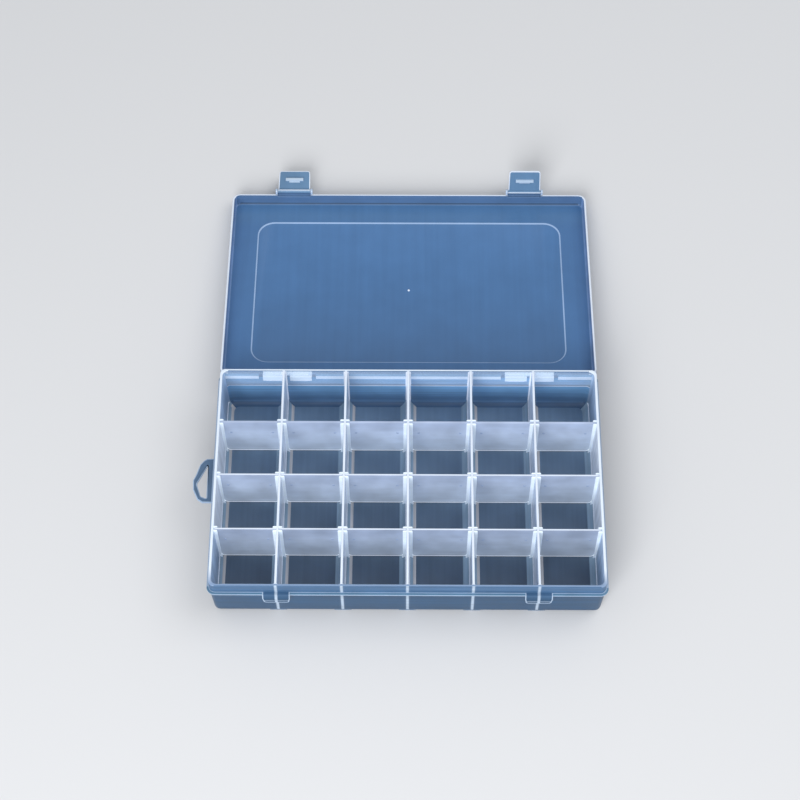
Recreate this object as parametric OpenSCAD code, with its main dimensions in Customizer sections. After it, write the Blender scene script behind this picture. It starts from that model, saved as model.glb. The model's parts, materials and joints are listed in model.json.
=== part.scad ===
// Storage box for beads and small parts: a tray of twenty-four compartments,
// eighteen lift-out dividers and a hinged lid with two snap latches.
// It is drawn open, with the lid laid back on its far edge.
// X runs to the right, Y from the front wall to the hinge, Z up.
// The origin lies under the middle of the tray, on the surface it stands on.

/* [Tray] */
// Width of the tray over its rim
tray_w = 193.2; // [185:0.1:230]
// Depth of the tray over its rim
tray_d = 122.2; // [110:0.1:150]
// Height of the tray at its rim
tray_h = 32; // [30:0.5:45]
// Thickness of the outer walls
wall_t = 1.3; // [1:0.1:1.8]
// Thickness of the floor
floor_t = 2; // [1.2:0.1:3]
// How far the outer walls lean in on the way down
wall_lean = 0.8; // [0.4:0.1:1.2]
// Radius of the rim's corners, seen from above
rim_corner_r = 2.9; // [2.2:0.1:5]
// Radius of the tray's corners, inside
inner_corner_r = 2.6; // [1.6:0.1:3.5]
// Radius of the turn from the walls into the underside
foot_r = 4; // [2:0.1:5]
// Radius of the scoop along the foot of each wall, inside
scoop_r = 3; // [2:0.1:5]

/* [Flange] */
// How far the flange stands out from the rim
flange_out = 1.3; // [1.2:0.1:2]
// Thickness of the flange
flange_t = 1.2; // [0.8:0.1:1.6]
// Height of the rim above the flange
lip_h = 7; // [6:0.1:9]

/* [Partitions and dividers] */
// Thickness of a moulded partition at its top
partition_t = 1.2; // [1:0.1:1.6]
// Thickness of a moulded partition at the floor
partition_foot_t = 1.8; // [1.2:0.1:2.4]
// Thickness of a lift-out divider
divider_t = 1; // [0.8:0.1:1.4]
// Clearance between a divider and each rib of its slot
slot_gap = 0.2; // [0.15:0.05:0.4]
// Clearance under a divider and at its ends
divider_gap = 0.3; // [0.2:0.05:0.4]
// How far a divider's top lies below the rim
divider_drop = 0.2; // [0.1:0.1:1]
// Thickness of a slot rib
rib_t = 0.7; // [0.5:0.1:1.2]
// How far a slot rib stands out from its wall
rib_reach = 1.85; // [1.6:0.05:2.5]

/* [Lid] */
// Thickness of the lid's plate
lid_t = 1.1; // [0.8:0.1:1.5]
// Thickness of the lid's skirt
skirt_t = 1; // [0.8:0.1:1.2]
// Clearance between the rim and the inside of the skirt
skirt_gap = 0.3; // [0.25:0.05:0.5]
// Clearance between the closed skirt and the flange
seat_gap = 0.2; // [0.15:0.05:0.4]
// Clearance between the rim and the closed plate
top_gap = 0.35; // [0.3:0.05:0.6]
// Radius of the lid's upper edge
lid_edge_r = 1; // [0.5:0.1:1.5]
// Border between the lid's edge and its stepped panel
panel_margin = 14.2; // [10:0.1:20]
// Height of the panel's step
panel_step = 0.5; // [0.2:0.1:0.8]
// Corner radius of the panel
panel_r = 9.5; // [5:0.1:15]
// Gap under the far edge of the open lid
open_lid_gap = 0.05; // [0.02:0.01:0.5]

/* [Lid hinges] */
// Distance from the rim's outer face to the hinge axis
hinge_out = 2.4; // [2.4:0.1:3.4]
// Height of the hinge axis below the top of the flange
hinge_drop = 1.7; // [1.4:0.1:2.2]
// Radius of the lid's hinge pins
pin_r = 1.1; // [0.9:0.05:1.2]
// Radial clearance of the pins in their knuckles
pin_gap = 0.06; // [0.03:0.01:0.1]
// Outer radius of a knuckle
knuckle_r = 2.2; // [2:0.05:2.3]
// Length of a knuckle
knuckle_l = 8; // [6:0.1:8.4]
// Width of the mouth that a pin snaps through
mouth_w = 1.4; // [1:0.1:1.6]
// Outer radius of the lid's hinge ears
ear_r = 1.8; // [1.5:0.05:2]
// Thickness of the lid's hinge ears
ear_t = 0.9; // [0.7:0.1:1.2]
// Distance between the middle ear and the ear nearer the centre
ear_step_in = 10.3; // [9.9:0.1:12]
// Distance between the middle ear and the ear nearer the corner
ear_step_out = 14; // [12:0.1:16]
// Distance from the partition line in to the middle ear
ear_inset = 3.2; // [2:0.1:5]

/* [Latches] */
// Distance from the rim's outer face to a latch's pivot
latch_out = 2.9; // [2.9:0.1:3.6]
// Height of a latch's pivot below the top of the flange
latch_drop = 0.5; // [0.2:0.1:0.8]
// Length of a latch from its pivot to its tip
latch_l = 13.45; // [11:0.05:16]
// Width of a latch at its pivot
latch_root_w = 17.2; // [15:0.1:19]
// Width of a latch at its tip
latch_tip_w = 16.4; // [14:0.1:18]
// Radius of the corners of a latch's tip
latch_tip_r = 1.4; // [0.8:0.1:2]
// Thickness of a latch's plate
latch_t = 1; // [0.8:0.1:1.4]
// Radius of a latch's barrel
barrel_r = 1.1; // [0.9:0.05:1.15]
// Radius of the trunnions at the barrel's ends
trunnion_r = 0.6; // [0.5:0.05:0.7]
// Radial clearance of the trunnions
trunnion_gap = 0.05; // [0.03:0.01:0.1]
// Outer radius of the ears that hold a trunnion
latch_ear_r = 1.3; // [1.2:0.05:1.35]
// Thickness of the ears that hold a trunnion
latch_ear_t = 1; // [0.8:0.1:1.4]
// Clearance between a barrel's end and its ear
barrel_end_gap = 0.3; // [0.2:0.05:0.5]
// Width of a latch's catch bar
bar_w = 10.4; // [8:0.1:12]
// Width of the low pad beside the catch bar
bar_pad_w = 6.3; // [4:0.1:8]
// Length of the low pad beside the catch bar
bar_pad_l = 0.9; // [0.5:0.1:1.5]
// Thickness of the catch bar along the latch
bar_t = 2; // [1.2:0.1:2.4]
// How far the catch bar stands in from the pivot's plane
bar_h = 1.05; // [0.9:0.05:1.2]
// How far the left latch is swung open, from closed
left_swing = 82; // [20:1:88]
// How far the right latch is swung open, from closed
right_swing = 14; // [8:1:88]

/* [Catches] */
// Width of a catch at its top
catch_w = 13.4; // [11:0.1:15]
// Width of a catch at its lower edge
catch_foot_w = 12; // [10.6:0.1:14]
// How far a catch's face stands out from the rim
catch_out = 2.45; // [2.3:0.05:2.5]
// Height of a catch, from the flange's top to its lower edge
catch_h = 6.8; // [5.5:0.1:8.5]
// Clearance between a closed catch bar and the catch above it
catch_gap = 0.2; // [0.1:0.05:0.4]
// Drop of the slope that leads onto the catch
catch_slope = 2.6; // [2.4:0.1:3.5]

/* [Hang tab] */
// How far the hang tab stands out from the flange
tab_out = 10; // [8:0.1:14]
// Length of the hang tab along the wall
tab_l = 24.7; // [22:0.1:30]
// Width of the band around the tab's hole
tab_band = 2.3; // [1.6:0.1:3]

/* [Hidden] */
columns = 6;
rows = 4;
smooth = 48;
arc_steps = 8;
weld = 0.5;                                     // overlap of shapes that are moulded as one
cut = 1;                                        // how far a cutting shape runs past a face

rim_x = tray_w / 2;
rim_y = tray_d / 2;
flange_top = tray_h - lip_h;
flange_z = flange_top - flange_t;
column_pitch = (tray_w - 2 * wall_t + partition_t) / columns;
row_pitch = (tray_d - 2 * wall_t + divider_t) / rows;
feature_x = column_pitch * (columns / 2 - 1);    // the latches and hinges lie on the outer partitions

// Divider: as wide as the narrowest column, which is an end one, allows
end_column_in = feature_x + partition_foot_t / 2;
end_column_out = rim_x - wall_t - wall_lean;
divider_w = end_column_out - end_column_in - 2 * divider_gap;
divider_z = floor_t + divider_gap;
divider_h = tray_h - divider_drop - divider_z;
divider_corner_r = scoop_r - divider_gap;

// Lid, measured closed
skirt_in = skirt_gap;                           // from the rim's outer face
skirt_out = skirt_in + skirt_t;
lid_w = tray_w + 2 * skirt_out;
lid_d = tray_d + 2 * skirt_out;
lid_corner_r = rim_corner_r + skirt_out;
lid_edge_z = flange_top + seat_gap;
plate_z = tray_h + top_gap;
lid_top = plate_z + lid_t;

hinge_y = rim_y + hinge_out;
hinge_z = flange_top - hinge_drop;
knuckle_gap = 0.4;                              // between a knuckle and the ear beside it
hinge_notch_h = knuckle_r - hinge_drop - seat_gap + 0.5;
ear_x_mid = feature_x - ear_inset;
ear_x_in = ear_x_mid - ear_step_in;
ear_x_out = ear_x_mid + ear_step_out;
knuckle_x_in = (ear_x_in + ear_x_mid) / 2;
knuckle_x_out = ear_x_out - ear_t / 2 - knuckle_gap - knuckle_l / 2;
ear_rise = 4.5;                                 // how far an ear climbs the skirt above the axis
flange_notch_margin = 2.2;                      // from an outer ear to the end of the flange's notch

latch_y = rim_y + latch_out;
latch_z = flange_top - latch_drop;
latch_face = 0.1;                               // the plate's inner face, in from the pivot's plane
bar_d = catch_h - latch_drop + catch_gap;       // pivot to the bar's hooking face
barrel_l = latch_root_w + 0.6;
latch_ear_x = barrel_l / 2 + barrel_end_gap + latch_ear_t / 2;
latch_notch_h = 1.1;
latch_ear_rise = 3.4;

// The open lid has swung over until the round of its far upper edge nearly
// touches the surface that the box stands on.
far_reach = hinge_y + lid_d / 2 - lid_edge_r;
far_rise = lid_top - hinge_z - lid_edge_r;
open_tilt = asin((hinge_z - lid_edge_r - open_lid_gap) / norm([far_reach, far_rise]))
          - atan2(far_rise, far_reach);
lid_swing = 180 + open_tilt;
echo(lid_swing = lid_swing, hinge_y = hinge_y, hinge_z = hinge_z,
     latch_y = latch_y, latch_z = latch_z, feature_x = feature_x);

function divider_name(r, c) = str("divider_r", r, "_c", c);

// ---- shared shapes ----

// Rectangle with round corners, centred.
module rounded_rect(w, d, r) {
    square([w - 2 * r, d], center = true);
    square([w, d - 2 * r], center = true);
    for (sx = [-1, 1], sy = [-1, 1])
        translate([sx * (w / 2 - r), sy * (d / 2 - r)])
            circle(r, $fn = smooth);
}

module slab(w, d, r, z, h) {
    translate([0, 0, z])
        linear_extrude(h)
            rounded_rect(w, d, r);
}

// Points of an arc about c, from angle a0 to a1.
function arc(c, r, a0, a1, n = arc_steps) =
    [for (i = [0 : n]) let (a = a0 + (a1 - a0) * i / n) [c[0] + r * cos(a), c[1] + r * sin(a)]];

// Cross-section of a trough: level floor, leaning sides and a scoop along the
// foot of each. A side leans by the given amount over its whole height.
function trough(left, right, left_lean, right_lean, base, top, r) =
    let (al = atan2(left_lean, top - base),
         ar = atan2(right_lean, top - base),
         xl = left + r * (1 / cos(al) - tan(al)),
         xr = right - r * (1 / cos(ar) - tan(ar)))
    concat([[left - left_lean, top + cut], [left - left_lean, top]],
           arc([xl, base + r], r, 180 + al, 270),
           arc([xr, base + r], r, 270, 360 - ar),
           [[right + right_lean, top], [right + right_lean, top + cut]]);

// Cross-section of a block with a rounded upper edge.
module round_topped_section(w, h, edge_r) {
    translate([-w / 2, 0])
        square([w, h - edge_r]);
    translate([edge_r - w / 2, 0])
        square([w - 2 * edge_r, h]);
    for (s = [-1, 1])
        translate([s * (w / 2 - edge_r), h - edge_r])
            circle(edge_r, $fn = smooth);
}

// Stands a shape drawn in X and Z up and extrudes it along Y, centred.
module along_y(l) {
    rotate([90, 0, 0])
        linear_extrude(l, center = true)
            children();
}

// Stands a shape drawn in Y and Z up and extrudes it along X, centred.
module along_x(l) {
    rotate([90, 0, 90])
        linear_extrude(l, center = true)
            children();
}

module rod_x(r, l) {
    rotate([0, 90, 0])
        cylinder(r = r, h = l, center = true, $fn = smooth);
}

// ---- tray ----

// Outside of the tray below its flange, as one smooth leaning shell.
module tray_outside() {
    foot_w = tray_w - 2 * wall_lean;
    foot_d = tray_d - 2 * wall_lean;
    hull() {
        for (i = [0 : 4]) {
            a = 90 * i / 4;
            inset = foot_r * (1 - sin(a));
            slab(foot_w - 2 * inset, foot_d - 2 * inset, rim_corner_r, foot_r * (1 - cos(a)), 0.01);
        }
        slab(tray_w, tray_d, rim_corner_r, flange_top - 0.01, 0.01);
    }
}

module flange() {
    difference() {
        slab(tray_w + 2 * flange_out, tray_d + 2 * flange_out, rim_corner_r + flange_out,
             flange_z, flange_t);
        for (side = [-1, 1])
            translate([side * (ear_x_in + ear_x_out) / 2, rim_y + flange_out, flange_z - cut])
                translate([-hinge_notch_w() / 2, -flange_out, 0])
                    cube([hinge_notch_w(), flange_out + cut, flange_t + 2 * cut]);
    }
}

function hinge_notch_w() = ear_x_out - ear_x_in + ear_t + 2 * flange_notch_margin;

// The long troughs between the outer walls and the partitions.
module troughs() {
    partition_lean = (partition_foot_t - partition_t) / 2;
    half = (column_pitch - partition_foot_t) / 2;
    intersection() {
        for (c = [0 : columns - 1]) {
            first = c == 0;
            last = c == columns - 1;
            centre = (c - (columns - 1) / 2) * column_pitch;
            along_y(tray_d)
                polygon(trough(first ? -end_column_out : centre - half,
                               last ? end_column_out : centre + half,
                               first ? wall_lean : partition_lean,
                               last ? wall_lean : partition_lean, floor_t, tray_h, scoop_r));
        }
        along_x(tray_w)
            polygon(trough(-rim_y + wall_t + wall_lean, rim_y - wall_t - wall_lean,
                           wall_lean, wall_lean, floor_t, tray_h, scoop_r));
        slab(tray_w - 2 * wall_t, tray_d - 2 * wall_t, inner_corner_r, 0, tray_h + cut);
    }
}

// Pairs of ribs that hold the dividers' ends, on the partitions and side walls.
module slot_ribs() {
    rib_y = divider_t / 2 + slot_gap + rib_t / 2;
    rib_z = floor_t - weld;
    for (r = [1 : rows - 1], s = [-1, 1])
        translate([0, row_y(r) + s * rib_y, 0]) {
            for (p = [1 : columns - 1])
                translate([(p - columns / 2) * column_pitch, 0, (tray_h + rib_z) / 2])
                    cube([partition_t + 2 * rib_reach, rib_t, tray_h - rib_z], center = true);
            for (side = [0, 1])
                mirror([side, 0, 0])
                    along_y(rib_t)
                        polygon([[rim_x - wall_t - rib_reach, tray_h],
                                 [rim_x - wall_t + weld, tray_h],
                                 [end_column_out + weld, rib_z],
                                 [end_column_out - rib_reach, rib_z]]);
        }
}

// Rows are counted from the back.
function row_y(r) = (rows / 2 - r) * row_pitch;

// A lug that hangs from the flange, for the latch to snap under.
module catch() {
    foot = flange_top - catch_h;
    intersection() {
        along_x(catch_w)
            polygon([[-rim_y + wall_t - 0.2, flange_top],
                     [-rim_y - flange_out + 0.2, flange_top],
                     [-rim_y - catch_out, flange_top - catch_slope],
                     [-rim_y - catch_out, foot],
                     [-rim_y + wall_t - 0.2, foot]]);
        along_y(2 * (rim_y + catch_out + cut))
            polygon([[-catch_w / 2, flange_top], [catch_w / 2, flange_top],
                     [catch_foot_w / 2, foot], [-catch_foot_w / 2, foot]]);
    }
}

// Split knuckle and its web on the back wall.
module knuckle() {
    web_top = hinge_z + 1.8;
    web_foot = hinge_z - 2.8;
    difference() {
        union() {
            translate([0, hinge_y, hinge_z])
                rod_x(knuckle_r, knuckle_l);
            along_x(knuckle_l)
                polygon([[rim_y - wall_t + 0.1, web_foot],
                         [hinge_y - knuckle_r / 2, hinge_z - knuckle_r + 0.2],
                         [hinge_y, hinge_z],
                         [hinge_y - knuckle_r / 2, web_top],
                         [rim_y - wall_t + 0.1, web_top]]);
        }
        translate([0, hinge_y, hinge_z])
            rod_x(pin_r + pin_gap, knuckle_l + 2 * cut);
        translate([-knuckle_l / 2 - cut, hinge_y - mouth_w / 2, hinge_z - knuckle_r - cut])
            cube([knuckle_l + 2 * cut, mouth_w, knuckle_r + cut]);
    }
}

// Flat loop on the left side, to hang the box by.
module hang_tab() {
    half = tab_l / 2;
    turn = 3.2;
    apex_y = -0.1 * tab_l;
    translate([-rim_x - flange_out, 0, flange_z])
        linear_extrude(flange_t)
            difference() {
                hull() {
                    translate([0, -half])
                        square([weld, tab_l]);
                    translate([-tab_out / 3, half - turn])
                        circle(turn, $fn = 32);
                    translate([-tab_out + turn, apex_y + turn / 2])
                        circle(turn, $fn = 32);
                    translate([-tab_out + turn, apex_y - turn / 2])
                        circle(turn, $fn = 32);
                    translate([-tab_out / 2, turn - half])
                        circle(turn, $fn = 32);
                }
                hull() {
                    translate([-tab_band - 1.1, half - 2 * tab_band - 0.4])
                        circle(0.9, $fn = 24);
                    translate([-tab_out + tab_band + 1, apex_y + 0.8])
                        circle(0.9, $fn = 24);
                    translate([-tab_band - 1.1, 1.7 * tab_band - half])
                        circle(0.9, $fn = 24);
                }
            }
}

module tray() {
    color([0.72, 0.80, 0.90]) {
        difference() {
            union() {
                tray_outside();
                slab(tray_w, tray_d, rim_corner_r, flange_z, tray_h - flange_z);
                flange();
            }
            troughs();
        }
        slot_ribs();
        for (side = [-1, 1])
            translate([side * feature_x, 0, 0])
                catch();
        for (side = [-1, 1], x = [knuckle_x_in, knuckle_x_out])
            translate([side * x, 0, 0])
                knuckle();
        hang_tab();
    }
}

// ---- dividers ----

// Middle of a column between the faces that a divider's ends meet.
function column_x(c) =
    c == 1 ? -(end_column_in + end_column_out) / 2 :
    c == columns ? (end_column_in + end_column_out) / 2 :
    (c - (columns + 1) / 2) * column_pitch;

module divider(r, c) {
    color([0.80, 0.85, 0.95])
        translate([column_x(c), row_y(r), divider_z])
            along_y(divider_t) {
                translate([-divider_w / 2, divider_corner_r])
                    square([divider_w, divider_h - divider_corner_r]);
                translate([divider_corner_r - divider_w / 2, 0])
                    square([divider_w - 2 * divider_corner_r, divider_corner_r + weld]);
                for (s = [-1, 1])
                    translate([s * (divider_w / 2 - divider_corner_r), divider_corner_r])
                        circle(divider_corner_r, $fn = smooth);
            }
}

// ---- lid ----

// Carries a piece drawn in its closed place over to the open one.
module opened() {
    translate([0, hinge_y, hinge_z])
        rotate([-lid_swing, 0, 0])
            translate([0, -hinge_y, -hinge_z])
                children();
}

// Block with round corners and a rounded upper edge.
module round_topped(w, d, corner_r, z, h, edge_r) {
    translate([0, 0, z]) {
        along_x(w - 2 * corner_r)
            round_topped_section(d, h, edge_r);
        along_y(d - 2 * corner_r)
            round_topped_section(w, h, edge_r);
        for (sx = [-1, 1], sy = [-1, 1])
            translate([sx * (w / 2 - corner_r), sy * (d / 2 - corner_r), 0])
                rotate_extrude($fn = smooth)
                    intersection() {
                        round_topped_section(2 * corner_r, h, edge_r);
                        square([corner_r + cut, h]);
                    }
    }
}

module lid_shell() {
    panel_w = lid_w - 2 * panel_margin;
    panel_d = lid_d - 2 * panel_margin;
    difference() {
        union() {
            round_topped(lid_w, lid_d, lid_corner_r, lid_edge_z, lid_top - lid_edge_z, lid_edge_r);
            slab(panel_w, panel_d, panel_r, lid_top - weld, panel_step + weld);
        }
        slab(tray_w + 2 * skirt_in, tray_d + 2 * skirt_in, rim_corner_r + skirt_in,
             lid_edge_z - cut, plate_z - lid_edge_z + cut);
        slab(panel_w - lid_t, panel_d - lid_t, panel_r - lid_t / 2, plate_z - cut, panel_step + cut);
    }
}

// Ear behind the skirt that carries the hinge pin.
module hinge_ear() {
    along_x(ear_t)
        polygon([[rim_y + skirt_in + 0.2, hinge_z + ear_rise],
                 [rim_y + skirt_in + 0.2, hinge_z],
                 [hinge_y + ear_r, hinge_z],
                 [hinge_y + ear_r / 2, hinge_z + ear_r],
                 [rim_y + skirt_out, hinge_z + ear_rise]]);
    translate([0, hinge_y, hinge_z])
        rod_x(ear_r, ear_t);
}

// Ear in front of the skirt that holds one end of a latch.
module latch_ear() {
    difference() {
        union() {
            along_x(latch_ear_t)
                polygon([[-rim_y - skirt_in - 0.2, lid_edge_z],
                         [-rim_y - skirt_in - 0.2, lid_edge_z + latch_ear_rise],
                         [-rim_y - skirt_out, lid_edge_z + latch_ear_rise],
                         [-latch_y, latch_z + latch_ear_r],
                         [-latch_y, latch_z],
                         [-latch_y + latch_ear_r * 0.88, lid_edge_z]]);
            translate([0, -latch_y, latch_z])
                rod_x(latch_ear_r, latch_ear_t);
        }
        translate([0, -latch_y, latch_z])
            rod_x(trunnion_r + trunnion_gap, latch_ear_t + 2 * cut);
    }
}

module lid() {
    latch_notch_w = 2 * latch_ear_x - latch_ear_t;
    hinge_notch_l = ear_x_out - ear_x_in - ear_t;
    color([0.68, 0.78, 0.90])
        opened() {
            difference() {
                lid_shell();
                for (side = [-1, 1]) {
                    translate([side * feature_x - latch_notch_w / 2, -lid_d / 2 - cut, lid_edge_z - cut])
                        cube([latch_notch_w, cut + skirt_t + 0.2, latch_notch_h + cut]);
                    translate([side * (ear_x_in + ear_x_out) / 2 - hinge_notch_l / 2,
                               lid_d / 2 - skirt_t - 0.2, lid_edge_z - cut])
                        cube([hinge_notch_l, cut + skirt_t + 0.2, hinge_notch_h + cut]);
                }
            }
            for (side = [-1, 1]) {
                for (x = [ear_x_in, ear_x_mid, ear_x_out])
                    translate([side * x, 0, 0])
                        hinge_ear();
                translate([side * (ear_x_in + ear_x_out) / 2, hinge_y, hinge_z])
                    rod_x(pin_r, ear_x_out - ear_x_in + ear_t / 2);
                for (s = [-1, 1])
                    translate([side * feature_x + s * latch_ear_x, 0, 0])
                        latch_ear();
            }
        }
}

// ---- latches ----

// Drawn closed, hanging from the pivot along -Z with its inner face toward +Y.
module latch_closed() {
    trunnion_l = barrel_l + 2 * barrel_end_gap + 2 * latch_ear_t - 0.2;
    rod_x(barrel_r, barrel_l);
    rod_x(trunnion_r, trunnion_l);
    translate([0, latch_face - latch_t / 2, 0])
        along_y(latch_t)
            hull() {
                translate([-latch_root_w / 2, -0.1])
                    square([latch_root_w, 0.1]);
                for (s = [-1, 1])
                    translate([s * (latch_tip_w / 2 - latch_tip_r), latch_tip_r - latch_l])
                        circle(latch_tip_r, $fn = 32);
            }
    translate([-bar_w / 2, latch_face - weld, -bar_d - bar_t])
        cube([bar_w, bar_h - latch_face + weld, bar_t]);
    translate([-bar_pad_w / 2, latch_face - weld, -bar_d - weld])
        cube([bar_pad_w, weld + 0.15, bar_pad_l + weld]);
}

module latch(side, swing) {
    color([0.66, 0.76, 0.88])
        opened()
            translate([side * feature_x, -latch_y, latch_z])
                rotate([-swing, 0, 0])
                    latch_closed();
}

module latch_left() {
    latch(-1, left_swing);
}

module latch_right() {
    latch(1, right_swing);
}

tray();
lid();
latch_left();
latch_right();
for (r = [1 : rows - 1], c = [1 : columns])
    divider(r, c);
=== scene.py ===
import json
import math

import bmesh
import bpy
from mathutils import Matrix, Vector


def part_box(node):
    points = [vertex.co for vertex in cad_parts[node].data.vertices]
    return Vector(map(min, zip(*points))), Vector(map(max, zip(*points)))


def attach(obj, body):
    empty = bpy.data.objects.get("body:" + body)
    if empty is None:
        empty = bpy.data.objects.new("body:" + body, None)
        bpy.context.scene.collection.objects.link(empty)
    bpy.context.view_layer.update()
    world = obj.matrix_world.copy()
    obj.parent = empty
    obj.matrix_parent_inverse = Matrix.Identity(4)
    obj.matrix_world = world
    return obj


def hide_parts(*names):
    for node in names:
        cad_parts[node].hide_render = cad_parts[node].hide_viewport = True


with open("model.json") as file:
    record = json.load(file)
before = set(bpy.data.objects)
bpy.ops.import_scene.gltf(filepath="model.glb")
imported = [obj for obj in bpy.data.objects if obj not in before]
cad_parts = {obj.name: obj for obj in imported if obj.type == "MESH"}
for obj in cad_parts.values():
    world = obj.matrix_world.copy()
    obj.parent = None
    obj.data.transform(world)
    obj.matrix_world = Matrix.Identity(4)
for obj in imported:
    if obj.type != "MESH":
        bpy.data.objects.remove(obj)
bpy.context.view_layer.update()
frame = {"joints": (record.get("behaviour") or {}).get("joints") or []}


# ---- Tray shell ----
# The tray's walls and floor, moulded in one shot of milky polypropylene. Each
# face is painted with the tone that light gives it by the way it faces: seen
# square on, its sheets are painted slate blue; where they are looked along they
# are painted whitish, and their edges are painted nearly white, a painted
# highlight for the light they gather inside.

def linear(code):
    """Linear RGBA of an sRGB hex colour."""
    parts = [int(code[i:i + 2], 16) / 255 for i in (1, 3, 5)]
    return [p / 12.92 if p <= 0.04045 else ((p + 0.055) / 1.055) ** 2.4 for p in parts] + [1.0]


def add(tree, kind, inputs=None, **settings):
    """Adds a node with its settings; an input is a value or another node's output."""
    made = tree.nodes.new("ShaderNode" + kind)
    for name, value in settings.items():
        setattr(made, name, value)
    for name, value in (inputs or {}).items():
        if isinstance(value, bpy.types.NodeSocket):
            tree.links.new(value, made.inputs[name])
        else:
            made.inputs[name].default_value = value
    return made


def milky(part, colour, alpha, streaks=(10, 10, 500), streak_depth=0.08, cloud_depth=0.08, roughness=0.34,
          fade=None, partition_light=None, dim=None, glow=0.0):
    """Moulded milky polypropylene, as one part of the box shows it. Clouds of
    uneven cooling, about 15 mm across, and flow lines 1 to 7 mm apart shift its
    tone a little. Its mould was ground to a grain of 0.7 mm, so its gloss is
    soft. Streaks are how many flow lines fall to a metre along each axis.
    A fade is (axis, from, to, colour): the tone at the far end of that stretch.
    Partition light is (spacing, half width, colour, reach): painted light lines where partitions behind the
    sheet meet it, for their glow seen through.
    Dim is (axis, from, to, share): how far the tone falls along that stretch.
    Glow is a painted glow: emission in the part's own tone, standing in for the light that a thick or deep part
    gathers."""
    made = bpy.data.materials.new("milky polypropylene, " + part)
    made.use_nodes = True
    tree = made.node_tree
    tree.nodes.clear()
    place = add(tree, "TexCoord").outputs["Object"]
    spot = add(tree, "SeparateXYZ", {"Vector": place})
    tint = linear(colour)
    if fade:
        axis, start, end, far = fade
        along = add(tree, "MapRange", {"Value": spot.outputs[axis], "From Min": start, "From Max": end})
        tint = add(tree, "Mix", {0: along.outputs[0], 6: tint, 7: linear(far)}, data_type="RGBA").outputs[2]
    # Painted light: pale lines where partitions stand behind the sheet.
    if partition_light:
        spacing, half, far, reach = partition_light
        away = add(tree, "Math", {0: spot.outputs["X"], 1: spacing / 2}, operation="PINGPONG")
        near = add(tree, "MapRange", {"Value": away.outputs[0], "From Min": half * 1.5, "From Max": half * 0.7})
        side = add(tree, "Math", {0: spot.outputs["X"]}, operation="ABSOLUTE")
        inside = add(tree, "MapRange", {"Value": side.outputs[0], "From Min": reach, "From Max": reach - 0.002})
        light_line = add(tree, "Math", {0: near.outputs[0], 1: inside.outputs[0]}, operation="MULTIPLY")
        tint = add(tree, "Mix", {0: light_line.outputs[0], 6: tint, 7: linear(far)}, data_type="RGBA").outputs[2]
    clouds = add(tree, "TexNoise", {"Vector": place, "Scale": 65.0, "Detail": 2.0})
    stretch = add(tree, "Mapping", {"Vector": place, "Scale": streaks})
    lines = add(tree, "TexNoise", {"Vector": stretch.outputs[0], "Scale": 1.0, "Detail": 3.0})
    middle = {"From Min": 0.3, "From Max": 0.7}
    cloud_tone = add(tree, "MapRange", {"Value": clouds.outputs[0], **middle,
                                        "To Min": 1 - cloud_depth, "To Max": 1 + cloud_depth})
    line_tone = add(tree, "MapRange", {"Value": lines.outputs[0], **middle,
                                       "To Min": 1 - streak_depth, "To Max": 1 + streak_depth})
    tone = add(tree, "Math", {0: cloud_tone.outputs[0], 1: line_tone.outputs[0]}, operation="MULTIPLY")
    if dim:
        axis, start, end, share = dim
        fall = add(tree, "MapRange", {"Value": spot.outputs[axis], "From Min": start, "From Max": end,
                                      "To Min": 1.0, "To Max": share})
        tone = add(tree, "Math", {0: tone.outputs[0], 1: fall.outputs[0]}, operation="MULTIPLY")
    base = add(tree, "VectorMath", {"Scale": tone.outputs[0]}, operation="SCALE")
    if isinstance(tint, bpy.types.NodeSocket):
        tree.links.new(tint, base.inputs[0])
    else:
        base.inputs[0].default_value = tint[:3]
    sheen = add(tree, "MapRange", {"Value": clouds.outputs[0], "To Min": roughness - 0.06,
                                   "To Max": roughness + 0.06})
    grain = add(tree, "TexNoise", {"Vector": place, "Scale": 1400.0, "Detail": 1.0})
    relief = add(tree, "Bump", {"Height": grain.outputs[0], "Strength": 0.08, "Distance": 0.0003})
    # The emission is a painted glow, in the sheet's own tone.
    shader = add(tree, "BsdfPrincipled", {"Base Color": base.outputs[0], "Roughness": sheen.outputs[0],
                                          "IOR": 1.49, "Alpha": alpha, "Normal": relief.outputs[0],
                                          "Emission Color": base.outputs[0], "Emission Strength": glow})
    add(tree, "OutputMaterial", {"Surface": shader.outputs[0]})
    return made


tray_w, tray_d, tray_h = 193.2, 122.2, 32.0
wall, lean, floor_t = 1.3, 0.8, 2.0
rim_r, inner_r, edge_r = 2.9, 2.6, 0.3
foot_r, scoop_r, scoop_steps = 4.0, 3.3, 7
flange_top, flange_t, flange_out = 25.0, 1.2, 1.3
flange_z = flange_top - flange_t
columns, rows = 6, 4
part_top, divider_t = 0.6, 1.0
pitch = (tray_w - 2 * wall + 2 * part_top) / columns
row_pitch = (tray_d - 2 * wall + divider_t) / rows
# A corner's turn takes up this much of a side.
corner = 4

# Walls seen from outside: slate blue, with painted light lines, whitish, where a
# partition stands behind them, for its glow seen through the sheet, and paler
# above the flange.
partition_lines_painted = (pitch / 1000, 0.0006, "#B4C6DA", 0.080)
outside = milky("tray outside", "#1F4A6E", 0.95, streaks=(12, 12, 420), streak_depth=0.16,
                fade=("Z", 0.0225, 0.0255, "#446990"), partition_light=partition_lines_painted)
# The rear wall's outside, painted paler up to the flange and darker low down,
# painted shade where the shaded floor under the lid shows through it, with the
# painted partition lines and a faint painted glow.
back_wall = milky("tray outside, rear", "#1F4A6E", 0.95, streaks=(12, 12, 420), streak_depth=0.14,
                  fade=("Z", 0.007, 0.018, "#71A0CA"), partition_light=partition_lines_painted, glow=0.08)
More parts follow.
